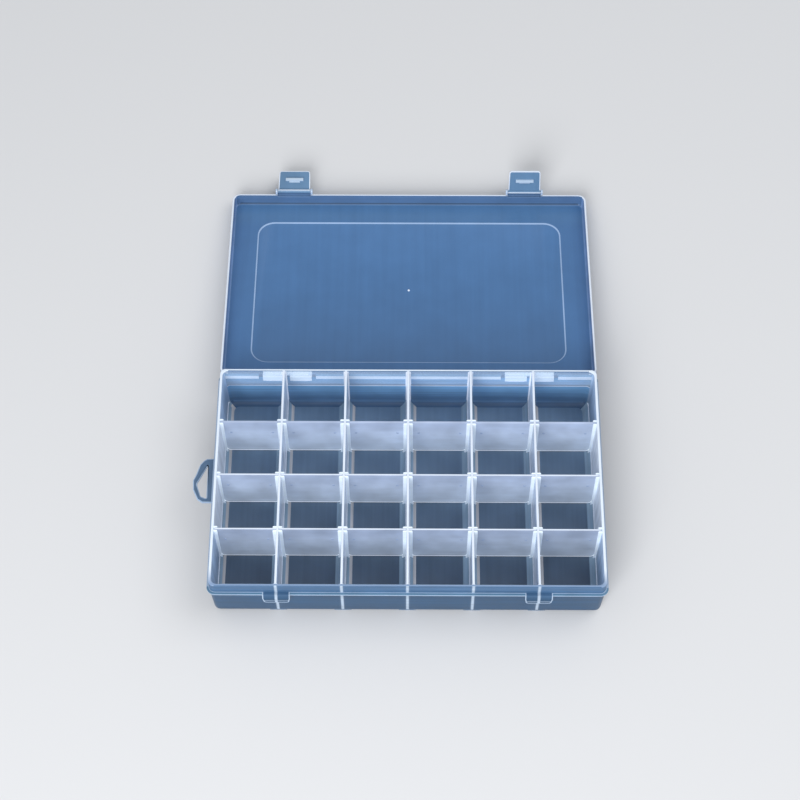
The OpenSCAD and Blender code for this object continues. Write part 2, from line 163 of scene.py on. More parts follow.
# The edge of a sheet, painted nearly white: a painted highlight for the light it gathers inside.
edge = milky("bright edge", "#E0EAF8", 0.97, streak_depth=0.02, cloud_depth=0.03, roughness=0.28)
# The tray's rim, painted as a bright line, a painted highlight of gathered light, less bright in front.
brim = milky("tray rim", "#839CBE", 0.97, streak_depth=0.03, cloud_depth=0.04,
             fade=("Y", -0.060, -0.052, "#E2EEFC"))
# The flange's outer edge and the nook at the wall: thin, faint lines of painted highlight.
brow = milky("flange edge", "#A3BAD6", 0.9, streak_depth=0.06)
# Front and rear walls seen from inside: blue above and painted slate below,
# painted shade deep in the compartments, with flow lines along them and a faint
# painted glow.
end_wall = milky("end wall", "#58789A", 0.92, streaks=(14, 14, 900), streak_depth=0.14,
                 fade=("Z", 0.006, 0.018, "#71A0CA"), glow=0.10)
# The top of the rear wall is thin and clear, so the hinge shows through it. It is painted pale, palest low
# down, with a painted glow: painted light.
clear_band = milky("rear wall, clear", "#D8E8FC", 0.28, streaks=(14, 14, 900), streak_depth=0.05,
                   fade=("Z", 0.019, 0.025, "#B4CCE8"), glow=0.18)
# The flange's root behind it, which shows through as a pale line: painted pale, with a painted glow.
rear_flange = milky("rear flange, root", "#D0DEEE", 0.95, streak_depth=0.05, glow=0.27)
# The flange's top in front: slate, with flow lines along it.
flange_sheet = milky("flange, front", "#5C84A4", 0.93, streaks=(10, 10, 420), streak_depth=0.08)
# Side walls and partitions, looked along: painted whitish with a painted glow, as painted light, with upright
# streaks.
side_wall = milky("side wall", "#D4DFEE", 0.78, streaks=(14, 320, 14), streak_depth=0.14, cloud_depth=0.10,
                  glow=0.20)
# A partition is painted paler low down, painted light against the shade deep in a compartment.
part_wall = milky("partition", "#CCD7E8", 0.75, streaks=(14, 320, 14), streak_depth=0.16, cloud_depth=0.12,
                  fade=("Z", 0.012, 0.028, "#9DB1CC"), glow=0.18)
# The two ends of a side wall, which are clearer and bluer, paler upwards, with a faint painted glow.
side_clear = milky("side wall, clear", "#8299B4", 0.85, streaks=(14, 320, 14), streak_depth=0.16,
                   cloud_depth=0.12, fade=("Z", 0.010, 0.028, "#A6C0E0"), glow=0.14)
# Scoops along the foot of the walls, painted light and shade by the way each face
# turns: a painted white highlight at the top, then blue grey; warm grey, a
# painted reflection, where they face the right, and slate, painted shade, where
# they face the front.
scoop_top = milky("scoop, upper line", "#E6EDF8", 0.9, streaks=(14, 300, 14), streak_depth=0.12, glow=0.25)
scoop_cool = milky("scoop, cool", "#8AA2B6", 0.95, streaks=(700, 14, 14), streak_depth=0.16, glow=0.08)
scoop_reflection = milky("scoop, warm", "#BAB9BB", 0.95, streaks=(700, 14, 14), streak_depth=0.20, glow=0.10)
scoop_dark = milky("scoop, shaded", "#49698A", 0.97, streaks=(14, 14, 600), streak_depth=0.08)
# The floor: slate, painted darker towards the front as painted shade, with faint flow lines along Y.
floor_sheet = milky("tray floor", "#4D5D6F", 0.97, streaks=(420, 10, 10), streak_depth=0.06, cloud_depth=0.07,
                    fade=("Y", -0.062, 0.048, "#718BA4"))
# The hang tab: a thin flat sheet, slate blue.
tab_sheet = milky("hang tab", "#54708F", 0.90, streaks=(200, 60, 10), streak_depth=0.08, cloud_depth=0.10)
tray_looks = [outside, edge, brim, brow, end_wall, clear_band, side_wall, part_wall, scoop_top, scoop_cool,
              scoop_reflection, scoop_dark, floor_sheet, tab_sheet, rear_flange, flange_sheet, side_clear, back_wall]
(OUT, EDGE, BRIM, BROW, END, BAND, SIDE, PART, LINE, COOL,
 REFLECTION, DARK, FLOOR, TAB, PALE, SHELF, CLEAR, BACK) = range(len(tray_looks))
# The rear wall's clear band starts at this height, over a thin painted bright line.
band_z, band_t = 17.8, 0.5


def inside_look(face):
    """The painted light and shade of a face inside the tray: its tone, from the way it faces and its height."""
    n, z = face.normal, face.calc_center_median().z
    flat, level, slope, steep, upright = 0.998, 0.9, 0.6, 0.45, 0.25
    if n.z > flat:
        return FLOOR
    if z > floor_t + scoop_r + 0.1:
        if abs(n.x) > abs(n.y):
            return SIDE
        if n.y > 0 or z < band_z:
            return END
        return BAND if z > band_z + band_t else BRIM
    if abs(n.y) > abs(n.x):
        return DARK if n.z > slope else END
    if n.z < upright:
        return SIDE
    if n.z < steep:
        return LINE
    return REFLECTION if n.z > level and n.x > 0 else COOL


def round_off(bm, geom, size, steps, affect="EDGES", material=-1):
    """Rounds edges, or the corners of a flat outline, and gives what it made."""
    return bmesh.ops.bevel(bm, geom=geom, offset=size, offset_type="OFFSET", segments=steps, profile=0.5,
                           affect=affect, material=material)


def cut(bm, place, across):
    """Cuts every face along a plane, so that its two sides can differ."""
    bmesh.ops.bisect_plane(bm, geom=list(bm.verts) + list(bm.edges) + list(bm.faces), dist=0.0001,
                           plane_co=place, plane_no=across)


def quarter(steps, first=0):
    """The angles of a quarter turn."""
    return [math.radians(90 * i / steps) for i in range(first, steps + 1)]


def ring(w, d, inset, r, z, look):
    """A ring for loft, this far inside a rectangle."""
    return w - 2 * inset, d - 2 * inset, r, z, look


def loft(bm, rings, steps=6):
    """Skins rounded rectangles (width, depth, corner radius, height, look) in
    order, by drawing out the edge of the first. Each ring's look is that of the
    strip that leads to it."""
    w, d, r, z, look = rings[0]
    corners = [bm.verts.new((sx * w / 2, sy * d / 2, z)) for sx, sy in ((1, 1), (-1, 1), (-1, -1), (1, -1))]
    bm.faces.new(corners).material_index = look
    round_off(bm, corners, r, steps, "VERTICES")
    cap = [f for f in bm.faces if len(f.verts) > 4][-1]
    loop = list(cap.verts)
    turn = []
    for v in loop:
        sx, sy = math.copysign(1, v.co.x), math.copysign(1, v.co.y)
        turn.append((sx, sy, math.atan2(abs(v.co.y) - (d / 2 - r), abs(v.co.x) - (w / 2 - r))))
    for w, d, r, z, look in rings[1:]:
        edges = [bm.edges.get((loop[i - 1], loop[i])) for i in range(len(loop))]
        grown = bmesh.ops.extrude_edge_only(bm, edges=edges)["geom"]
        fresh = {v for v in grown if isinstance(v, bmesh.types.BMVert)}
        loop = [next(e.other_vert(v) for e in v.link_edges if e.other_vert(v) in fresh) for v in loop]
        for v, (sx, sy, a) in zip(loop, turn):
            v.co = (sx * (w / 2 - r + r * math.cos(a)), sy * (d / 2 - r + r * math.sin(a)), z)
        for f in grown:
            if isinstance(f, bmesh.types.BMFace):
                f.material_index = look
    bm.faces.new(loop).material_index = look


def finish(bm, name, body, replaced, materials, matrix=None, sharp=40):
    """Makes the piece from a mesh in millimetres, in its place."""
    bmesh.ops.remove_doubles(bm, verts=bm.verts, dist=0.0005)
    bmesh.ops.recalc_face_normals(bm, faces=bm.faces)
    bmesh.ops.transform(bm, matrix=Matrix.Scale(0.001, 4) @ (matrix or Matrix.Identity(4)), verts=bm.verts)
    mesh = bpy.data.meshes.new(name)
    bm.to_mesh(mesh)
    bm.free()
    mesh.shade_smooth()
    mesh.set_sharp_from_angle(angle=math.radians(sharp))
    for m in materials:
        mesh.materials.append(m)
    made = bpy.data.objects.new(name, mesh)
    bpy.context.scene.collection.objects.link(made)
    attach(made, body)
    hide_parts(*replaced)


# Outside: the turn at the foot, the leaning wall and the rim's outer edge.
rings = [ring(tray_w, tray_d, foot_r * (1 - math.sin(a)) + lean, rim_r, foot_r * (1 - math.cos(a)), OUT)
         for a in quarter(6)]
for z in (band_z - 2.6, flange_z):
    rings.append(ring(tray_w, tray_d, lean * (1 - z / flange_top), rim_r, z, OUT))
for z in (flange_top, tray_h - edge_r):
    rings.append((tray_w, tray_d, rim_r, z, OUT))
for a in quarter(3, first=1):
    inset = edge_r * (1 - math.cos(a))
    rings.append(ring(tray_w, tray_d, inset, rim_r - inset, tray_h - edge_r * (1 - math.sin(a)), BRIM))
# Inside: the rim's inner edge, the wall and the scoop. The corners' radius
# grows a little where the wall ends.
for a in quarter(3):
    rings.append(ring(tray_w, tray_d, wall - edge_r + edge_r * math.sin(a), inner_r + 0.2,
                      tray_h - edge_r * (1 - math.cos(a)), BRIM))
lean_in = math.atan2(lean, tray_h - floor_t)
for z in (band_z + band_t, band_z):
    rings.append(ring(tray_w, tray_d, wall + (tray_h - edge_r - z) * math.tan(lean_in), inner_r + 0.3, z, END))
for i in range(scoop_steps + 1):
    a = lean_in + (math.pi / 2 - lean_in) * i / scoop_steps
    inset = wall + lean + scoop_r * (1 / math.cos(lean_in) - math.tan(lean_in)) - scoop_r * math.cos(a)
    rings.append(ring(tray_w, tray_d, inset, inner_r + 0.4 - 0.02 * i,
                      floor_t + scoop_r - scoop_r * math.sin(a), END))
bm = bmesh.new()
loft(bm, rings)
for y in (-row_pitch, row_pitch):
    cut(bm, (0, y, 0), (0, 1, 0))
bmesh.ops.recalc_face_normals(bm, faces=bm.faces)
for f in bm.faces:
    at = f.calc_center_median()
    if f.material_index == END:
        look = inside_look(f)
        f.material_index = CLEAR if look == SIDE and abs(at.y) > row_pitch else look
    elif f.material_index == OUT and f.normal.y > 0.7:
        f.material_index = BAND if at.z > flange_z else BACK
    # Along the front and rear, the rim's rounds lose the painted bright line and take the tone of the outside
    # or of the clear band.
    elif f.material_index == BRIM and abs(at.x) < tray_w / 2 - corner and f.normal.z < 0.97:
        f.material_index = OUT if f.normal.y < 0 else BAND
finish(bm, "tray_shell", "tray", ["tray"], tray_looks)

# ---- Flange ----
# The ledge that the closed lid's skirt stands over, moulded with the shell and
# stiffened by a root. It stops at each hinge; its outer edge and the nook at
# the wall are painted as thin pale lines, painted highlights.
feature_x = 2 * pitch
ear_mid, ear_gaps, ear_t = feature_x - 3.2, (10.3, 14.0), 0.9
ear_x = (ear_mid - ear_gaps[0], ear_mid, ear_mid + ear_gaps[1])
hinge_x = (ear_x[0] + ear_x[2]) / 2
notch_play = 2.2
notch_half = (ear_x[2] - ear_x[0] + ear_t) / 2 + notch_play
sunk, soft, root = 0.2, 0.2, 1.5
fillet, fillet_h = 1.0, 0.15
w0, d0, r0 = tray_w - 2 * sunk, tray_d - 2 * sunk, rim_r - sunk
w1, d1, r1 = tray_w + 2 * flange_out, tray_d + 2 * flange_out, rim_r + flange_out
rear = tray_d / 2 - 1
bm = bmesh.new()
loft(bm, [(w0, d0, r0, flange_z - root, OUT),
          (w0 + sunk, d0 + sunk, r0 + sunk / 2, flange_z - root, OUT),
          (w0 + sunk, d0 + sunk, r0 + sunk / 2, flange_z, OUT),
          ring(w1, d1, soft, r1 - soft, flange_z, OUT),
          (w1, d1, r1, flange_z + soft, OUT),
          (w1, d1, r1, flange_top - soft, BROW),
          ring(w1, d1, soft, r1 - soft, flange_top, OUT),
          (w0 + fillet, d0 + fillet, r0 + fillet / 2, flange_top, OUT),
          (w0, d0, r0, flange_top + fillet_h, BROW)])
caps = [f for f in bm.faces if len(f.verts) > 4]
bmesh.ops.delete(bm, geom=caps, context="FACES_ONLY")
bmesh.ops.bridge_loops(bm, edges=[e for e in bm.edges if e.is_boundary])
for side in (-1, 1):
    for x in (side * hinge_x - notch_half, side * hinge_x + notch_half):
        cut(bm, (x, 0, 0), (1, 0, 0))
gone = [f for f in bm.faces if f.calc_center_median().y > rear
        and abs(abs(f.calc_center_median().x) - hinge_x) < notch_half]
bmesh.ops.delete(bm, geom=gone, context="FACES")
for f in bmesh.ops.holes_fill(bm, edges=[e for e in bm.edges if e.is_boundary], sides=0)["faces"]:
    f.material_index = BROW
bmesh.ops.recalc_face_normals(bm, faces=bm.faces)
for f in bm.faces:
    at = f.calc_center_median()
    if at.y > 0 and f.normal.y < -0.7:
        f.material_index = PALE
    elif at.y > rear and f.normal.z > 0.6:
        f.material_index = END
    elif abs(at.x) > tray_w / 2 - 0.5 and f.normal.z > -0.3 and abs(at.y) < tray_d / 2 - corner:
        f.material_index = BROW
    elif f.material_index == OUT and f.normal.z > 0.6:
        f.material_index = SHELF
finish(bm, "tray_flange", "tray", ["tray"], tray_looks)

# ---- Partitions ----
# Five fixed walls between the columns, moulded with the tray, thicker at the
# foot than at the top and scooped into the floor on both sides.

def trace(bm, corners):
    """Traces a flat outline and gives its face."""
    return bm.faces.new([bm.verts.new(c) for c in corners])


def draw_out(bm, faces, way):
    """Draws flat faces out into a solid and gives its far corners."""
    grown = bmesh.ops.extrude_face_region(bm, geom=faces)["geom"]
    far = [v for v in grown if isinstance(v, bmesh.types.BMVert)]
    bmesh.ops.translate(bm, verts=far, vec=way)
    return far


part_foot, part_round = 0.9, 0.2
part_x = [(i + 1 - columns / 2) * pitch for i in range(columns - 1)]
end_y, foot_y = tray_d / 2 - wall + 0.1, tray_d / 2 - wall - lean
sole_z, foot_z, skirt = 1.6, floor_t + 0.02, part_foot + scoop_r + 0.05
outline = [(-skirt, sole_z), (skirt, sole_z), (skirt, foot_z), (part_foot, foot_z), (part_top, tray_h),
           (-part_top, tray_h), (-part_foot, foot_z), (-skirt, foot_z)]
# The upright nook where a partition runs into the front or rear wall, measured
# from its foot, and how its upper end leans with both.
nook = [(-0.2, 0.3), (0.75, 0.3), (0.25, -0.25), (-0.2, -0.75)]
nook_z, nook_h, nook_in, nook_out = floor_t + 1.0, tray_h - floor_t - 1.6, 0.3, lean * 0.95
for i, x in enumerate(part_x):
    bm = bmesh.new()
    corners = list(trace(bm, [(x + px, -end_y, pz) for px, pz in outline]).verts)
    round_off(bm, [corners[3], corners[6]], scoop_r, scoop_steps, "VERTICES")
    round_off(bm, [v for v in bm.verts if v.co.z > tray_h - 0.01], part_round, 2, "VERTICES")
    draw_out(bm, list(bm.faces), (0, 2 * end_y, 0))
    bmesh.ops.recalc_face_normals(bm, faces=bm.faces)
    for f in bm.faces:
        look = inside_look(f)
        # Its top is painted with the white edge highlight.
        if f.calc_center_median().z > tray_h - 0.12:
            look = EDGE
        f.material_index = PART if look == SIDE else look
    for sx, sy in ((-1, -1), (-1, 1), (1, -1), (1, 1)):
        low = trace(bm, [(x + sx * (part_foot + dx), sy * (foot_y + dy), nook_z) for dx, dy in nook])
        high = draw_out(bm, [low], (-sx * nook_in, sy * nook_out, nook_h))
        # Each nook is painted with the scoops' white line: a painted highlight.
        for f in {f for v in high for f in v.link_faces}:
            f.material_index = LINE
    finish(bm, f"tray_partition_{i + 1}", "tray", ["tray"], tray_looks, sharp=30)

# ---- Slot ribs ----
# Pairs of ribs that hold the dividers' ends, moulded with the tray. Each crosses
# a partition, or stands on a side wall; they are thick, and are painted milky
# white with a painted glow, as painted light.

def edges_of(corners):
    """The edges that meet at these corners, each once and in a fixed order."""
    return list(dict.fromkeys(e for v in corners for e in v.link_edges))


# Thick parts, painted milky white with a painted glow.
lump = milky("thick", "#DDE9F4", 0.95, streaks=(14, 14, 260), streak_depth=0.05, cloud_depth=0.06,
             roughness=0.3, glow=0.20)
rib_t, reach, gap = 0.85, 1.85, 0.12
rib_h, rib_mid, rib_lean = tray_h - 2.0, (tray_h + 1.9) / 2, 1.0
end_round, edge_round = 0.7, 0.22
pad_foot_r, pad_top_r, pad_h, pad_z = 0.55, 0.3, 1.6, 3.3
side_x = tray_w / 2 - wall
spans = [(x - part_top - reach, x + part_top + reach) for x in part_x]
spans += [(-side_x - 0.3, -side_x + reach), (side_x - reach, side_x + 0.3)]
bm = bmesh.new()
for row in (-1, 0, 1):
    for s in (-1, 1):
        y = row * row_pitch + s * (divider_t / 2 + gap + rib_t / 2)
        for a, b in spans:
            part = bmesh.ops.create_cube(bm, size=1.0)["verts"]
            bmesh.ops.scale(bm, vec=(b - a, rib_t, rib_h), verts=part)
            bmesh.ops.translate(bm, vec=((a + b) / 2, y, rib_mid), verts=part)
            # A side wall's rib leans in with the wall.
            for v in part:
                if v.co.z < tray_h / 2 and abs(v.co.x) > side_x:
                    v.co.x -= math.copysign(rib_lean, v.co.x)
            ends = [e for e in edges_of(part) if all(v.co.z > tray_h - 1 for v in e.verts)
                    and abs(e.verts[0].co.x - e.verts[1].co.x) < 0.1]
            turn = round_off(bm, ends, end_round, 4)["verts"]
            part = [v for v in part if v.is_valid] + turn
            round_off(bm, [e for e in edges_of(part) if e.calc_face_angle(0) > 0.7], edge_round, 3)
            # Its foot runs out into a small pad on the scoop, painted white with a painted glow: a painted
            # glint.
            for x, way in ((a, 1), (b, -1)):
                if abs(x) < side_x - 0.5:
                    bmesh.ops.create_cone(bm, cap_ends=True, segments=8, radius1=pad_foot_r, radius2=pad_top_r,
                                          depth=pad_h, matrix=Matrix.Translation((x + way * 0.1, y, pad_z)))
finish(bm, "tray_slot_ribs", "tray", ["tray"], [lump], sharp=50)

# ---- Catches ----
# Two lugs in front, moulded with the tray, which the latches snap under. Their
# sides and lower edge are painted pale, a painted highlight for the light they
# gather, and draw a white U on the wall.

def border(bm, faces, width):
    """Draws a border inside flat faces and gives its faces."""
    return bmesh.ops.inset_region(bm, faces=faces, thickness=width, depth=0.0, use_even_offset=True)["faces"]


catch_edge = milky("catch edge", "#A9BDD4", 0.95, streak_depth=0.03)
catch_w, catch_foot_w, catch_round, catch_line = 13.4, 12.0, 1.3, 0.5
front_y = -tray_d / 2
face, foot = front_y - 2.45, flange_top - 6.8
outline = [(front_y + 0.5, flange_top + 0.25), (front_y - flange_out - 0.1, flange_top + 0.05),
           (face, flange_top - 2.6), (face, foot), (front_y + 0.5, foot)]
# The hook's upper side is painted as a second pale line, a painted highlight, between these heights.
hook_line = (foot + 1.9, foot + 2.3)
for side in (-1, 1):
    bm = bmesh.new()
    trace(bm, [(-catch_w / 2, py, pz) for py, pz in outline])
    draw_out(bm, list(bm.faces), (catch_w, 0, 0))
    for v in bm.verts:
        if v.co.z < foot + 0.01:
            v.co.x *= catch_foot_w / catch_w
    bmesh.ops.recalc_face_normals(bm, faces=bm.faces)
    corners = [e for e in bm.edges if all(abs(v.co.z - foot) < 0.01 for v in e.verts)
               and abs(e.verts[0].co.y - e.verts[1].co.y) > 0.1]
    round_off(bm, corners, catch_round, 4)
    band = border(bm, [f for f in bm.faces if f.normal.y < -0.5 or f.normal.z > 0.9], catch_line)
    for f in bm.faces:
        pale = f in band or abs(f.normal.x) > 0.5 or f.normal.z < -0.4
        behind = f in band and f.calc_center_median().y > front_y
        f.material_index = 1 if pale and not behind else 0
    for z in hook_line:
        cut(bm, (0, 0, z), (0, 0, 1))
    for f in bm.faces:
        if f.normal.y < -0.9 and hook_line[0] < f.calc_center_median().z < hook_line[1]:
            f.material_index = 1
    bmesh.ops.translate(bm, verts=bm.verts, vec=(side * feature_x, 0, 0))
    finish(bm, f"catch_{'left' if side < 0 else 'right'}", "tray", ["tray"], [outside, catch_edge],
           sharp=30)

# ---- Hinge knuckles ----
# Four split eyes on the back wall, moulded with the tray and thick, so painted
# milky white with a painted glow; the lid's pins snap into them from below.
hinge_y, hinge_z = tray_d / 2 + 2.4, flange_top - 1.7
knuckle_r, bore_r, mouth_half, end_play = 2.2, 1.16, 0.6, 0.4
lengths = (8.6, 9.2)
middles = (ear_mid - ear_gaps[0] / 2, ear_mid + ear_gaps[1] - ear_t / 2 - end_play - lengths[1] / 2)
rear_y = tray_d / 2
web = [(rear_y - 0.9, hinge_z - 2.0), (hinge_y - 1.35, hinge_z - 1.3), (hinge_y - 1.35, hinge_z + 1.5),
       (rear_y - 0.9, hinge_z + 1.7)]
# The pad on the wall, which shows through behind a knuckle and its ears.
pad = [(rear_y - 1.0, hinge_z - 1.6), (rear_y + 0.2, hinge_z - 1.6), (rear_y + 0.2, hinge_z + 1.8),
       (rear_y - 1.0, hinge_z + 1.8)]
pad_spans = ((ear_x[0] - ear_t / 2, ear_x[1] + ear_t / 2), (middles[1] - lengths[1] / 2, ear_x[2] + ear_t / 2))
for side in (-1, 1):
    for k, (length, middle, pad_span) in enumerate(zip(lengths, middles, pad_spans)):
        bm = bmesh.new()
        for radius in (knuckle_r, bore_r):
            bmesh.ops.create_circle(bm, segments=28, radius=radius)
        bmesh.ops.bridge_loops(bm, edges=list(bm.edges))
        mouth = [f for f in bm.faces if f.calc_center_median().y < 0
                 and abs(f.calc_center_median().x) < mouth_half]
        bmesh.ops.delete(bm, geom=mouth, context="FACES")
        for axis in ("X", "Z"):
            bmesh.ops.rotate(bm, verts=bm.verts, matrix=Matrix.Rotation(math.radians(90), 3, axis))
        draw_out(bm, list(bm.faces), (length, 0, 0))
        bmesh.ops.translate(bm, verts=bm.verts, vec=(side * middle - length / 2, hinge_y, hinge_z))
        web_span = (middle - length / 2 + 0.1, middle + length / 2 - 0.1)
        for prism, (a, b) in ((web, web_span), (pad, pad_span)):
            start = trace(bm, [(min(side * a, side * b), py, pz) for py, pz in prism])
            draw_out(bm, [start], (b - a, 0, 0))
        finish(bm, f"knuckle_{'left' if side < 0 else 'right'}_{k + 1}", "tray", ["tray"], [lump])

# ---- Hang tab ----
# A flat loop level with the flange, on the left side, that the box can hang
# from. It is moulded with the tray, and its edges are painted as a pale
# outline, a painted highlight.
edge_x = -tray_w / 2 - flange_out + 0.3
outline = [(0.0, 12.4), (3.6, 12.3), (5.3, 11.2), (7.1, 8.9), (8.9, 3.1), (10.2, 0.0), (9.9, -5.3),
           (7.5, -10.7), (5.0, -12.4), (0.0, -12.4)]
hole = [(3.1, 8.6), (8.2, -2.0), (5.9, -9.0), (3.0, -10.2)]
hole_r, tab_round, tab_line = 0.7, 0.25, 0.25
bm = bmesh.new()
outer = [bm.verts.new((edge_x - px, py, flange_z)) for px, py in outline]
inner = [bm.verts.new((edge_x - px, py, flange_z)) for px, py in hole]
rim = [bm.edges.new((loop[i - 1], loop[i])) for loop in (outer, inner) for i in range(len(loop))]
bmesh.ops.triangle_fill(bm, use_beauty=True, use_dissolve=False, edges=rim)
draw_out(bm, list(bm.faces), (0, 0, flange_t))
bmesh.ops.recalc_face_normals(bm, faces=bm.faces)
posts = [e for e in bm.edges if abs(e.verts[0].co.z - e.verts[1].co.z) > 1]
nooks = [e for e in posts if any(abs(edge_x - e.verts[0].co.x - px) < 0.01 and abs(e.verts[0].co.y - py) < 0.01
                                 for px, py in hole)]
round_off(bm, nooks, hole_r, 4)
for f in bm.faces:
    f.material_index = BROW if abs(f.normal.z) < 0.5 else TAB
turns = [e for e in bm.edges if len({f.material_index for f in e.link_faces}) == 2]
round_off(bm, turns, tab_round, 2, material=BROW)
for f in border(bm, [f for f in bm.faces if f.normal.z > 0.99 and f.material_index == TAB], tab_line):
    f.material_index = BROW
finish(bm, "hang_tab", "tray", ["tray"], tray_looks)

# ---- Dividers ----
# Eighteen loose plates of the same plastic, cloudier than the tray. Their lower
# corners are round, and they widen upwards as their slots do.
# The sheet is painted paler low down, painted light against the shade deep in a compartment, and darker towards
# the front row, painted shade, with a painted glow.
divider_sheet = milky("divider", "#B9C6D6", 0.90, streaks=(50, 50, 240), streak_depth=0.06, cloud_depth=0.14,
                      fade=("Z", 0.006, 0.029, "#A3B1CA"), dim=("Y", 0.030, -0.032, 0.82), glow=0.24)
# Its foot, painted white with a strong painted glow as a painted highlight, and
# the marks of the two pins that pushed it out of its mould, painted darker for
# their shade, with a faint painted glow.
divider_foot = milky("divider foot", "#EEF4FA", 0.95, streak_depth=0.04, glow=0.40)
pin_mark = milky("pin mark", "#8E9FBA", 0.95, streak_depth=0.04, glow=0.20)
divider_looks = [divider_sheet, edge, divider_foot, pin_mark]
widening, end_widening = 0.72, 0.74
lower_r, plate_round, foot_line, foot_h = 2.9, 0.18, 0.7, 3.0
mark_x, mark_z, mark_r, mark_top_r, mark_h = 10.6, 19.0, 0.9, 0.6, 0.4
for r in range(rows - 1):
    for c in range(columns):
        node = f"divider_r{r + 1}_c{c + 1}"
        lo, hi = (Vector(v) * 1000 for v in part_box(node))
        left = end_widening if c == 0 else widening
        right = end_widening if c == columns - 1 else widening
        bm = bmesh.new()
        outline = [(lo.x, lo.z), (hi.x, lo.z), (hi.x + right, hi.z), (lo.x - left, hi.z)]
        corners = list(trace(bm, [(px, lo.y, pz) for px, pz in outline]).verts)
        round_off(bm, corners[:2], lower_r, 5, "VERTICES")
        draw_out(bm, list(bm.faces), (0, hi.y - lo.y, 0))
        bmesh.ops.recalc_face_normals(bm, faces=bm.faces)
        rim = [e for e in bm.edges if abs(e.link_faces[0].normal.y - e.link_faces[1].normal.y) > 0.5]
        round_off(bm, rim, plate_round, 2)
        # Their edges are painted with the white edge highlight, but the rear row's tops are not, so they are
        # less bright than the others.
        for f in bm.faces:
            f.material_index = 1 if abs(f.normal.y) < 0.35 and (r > 0 or f.normal.z < 0.9) else 0
        for f in border(bm, [f for f in bm.faces if abs(f.normal.y) > 0.99], foot_line):
            if f.calc_center_median().z < lo.z + foot_h:
                f.material_index = 2
        plain = set(bm.faces)
        for x in (-mark_x, mark_x):
            bmesh.ops.create_cone(bm, cap_ends=True, segments=10, radius1=mark_r, radius2=mark_top_r,
                                  depth=mark_h,
                                  matrix=Matrix.Translation(((lo.x + hi.x) / 2 + x, lo.y, lo.z + mark_z))
                                  @ Matrix.Rotation(math.radians(90), 4, "X"))
        for f in set(bm.faces) - plain:
            f.material_index = 3
        finish(bm, node + "_plate", node, [node], divider_looks)

# ---- Lid ----
# A flat plate with a skirt, moulded of the same plastic, drawn as it closes
# and then swung open about the hinge.
swing = next(-j["range_deg"][0] for j in frame["joints"] if j["name"] == "lid_hinge")
opened = (Matrix.Translation((0, hinge_y, hinge_z)) @ Matrix.Rotation(math.radians(-swing), 4, "X")
          @ Matrix.Translation((0, -hinge_y, -hinge_z)))
# Its plate: clear slate blue with faint flow lines away from the hinge, painted a little paler at its far
# margin as painted light.
lid_sheet = milky("lid plate", "#4A74A5", 0.96, streaks=(300, 10, 10), streak_depth=0.035, cloud_depth=0.04,
                  fade=("Y", 0.170, 0.178, "#507AA8"))
# Its skirt, and the step of its panel, which are looked along and so are painted paler: painted light.
lid_skirt = milky("lid skirt", "#7C9DCB", 0.80, streaks=(10, 10, 400), streak_depth=0.06)
lid_step = milky("lid step", "#9AB6DC", 0.95, streak_depth=0.04)
# The skirt's inner face: slate at the far side, with dark lines of painted shade
# in the nook, and a painted haze of light, with a faint painted glow, at the two
# sides.
lid_inner = milky("lid, inside of the skirt", "#50719B", 0.97, streaks=(10, 10, 400), streak_depth=0.06)
lid_nook = milky("lid nook", "#34506F", 0.97, streak_depth=0.04, roughness=0.6)
lid_haze_and_light = milky("lid haze", "#6D8CB9", 0.97, streaks=(10, 60, 10), streak_depth=0.12, cloud_depth=0.16,
                 roughness=0.5, glow=0.05)
lid_looks = [lid_sheet, edge, lid_skirt, lid_step, lid_inner, lid_nook, lid_haze_and_light]
PLATE, RIM, SKIRT, STEP, INNER, NOOK, HAZE_AND_LIGHT = range(len(lid_looks))
skirt_in, skirt_t, lid_t = 0.3, 1.0, 1.1
edge_z, plate_z = flange_top + 0.2, tray_h + 0.35
lid_top = plate_z + lid_t
lid_w, lid_d = tray_w + 2 * (skirt_in + skirt_t), tray_d + 2 * (skirt_in + skirt_t)
lid_r, top_r, nook_r = rim_r + skirt_in + skirt_t, 1.0, 1.2
panel_in, panel_r, step, panel_shift = 14.2, 9.5, 0.5, 1.4
pw, pd = lid_w - 2 * panel_in, lid_d - 2 * panel_in
# From the panel's raised top, down the skirt, round its edge and back inside.
rings = [(pw - 0.8, pd - 0.8, panel_r - 0.4, lid_top + step, PLATE),
         (pw, pd, panel_r, lid_top + step - 0.15, STEP),
         (pw + 0.6, pd + 0.6, panel_r + 0.3, lid_top, STEP)]
for a, look in zip(quarter(5), [PLATE] + 5 * [SKIRT]):
    inset = top_r - top_r * math.sin(a)
    rings.append(ring(lid_w, lid_d, inset, lid_r - inset, lid_top - top_r + top_r * math.cos(a), look))
rings.append((lid_w, lid_d, lid_r, edge_z + edge_r, SKIRT))
for a, look in zip(quarter(3, first=1), (SKIRT, SKIRT, RIM)):
    inset = edge_r * (1 - math.cos(a))
    rings.append(ring(lid_w, lid_d, inset, lid_r - inset, edge_z + edge_r * (1 - math.sin(a)), look))
for a, look in zip(quarter(3), (RIM, RIM, INNER, INNER)):
    inset = skirt_t - edge_r + edge_r * math.sin(a)
    rings.append(ring(lid_w, lid_d, inset, lid_r - inset, edge_z + edge_r * (1 - math.cos(a)), look))
for a, look in zip(quarter(4), (INNER, NOOK, NOOK, INNER, PLATE)):
    inset = skirt_t + nook_r * (1 - math.cos(a))
    rings.append(ring(lid_w, lid_d, inset, lid_r - inset, plate_z - nook_r + nook_r * math.sin(a), look))
rings.append((lid_w - 2 * inset - 0.4, lid_d - 2 * inset - 0.4, lid_r - inset - 0.2, plate_z, PLATE))
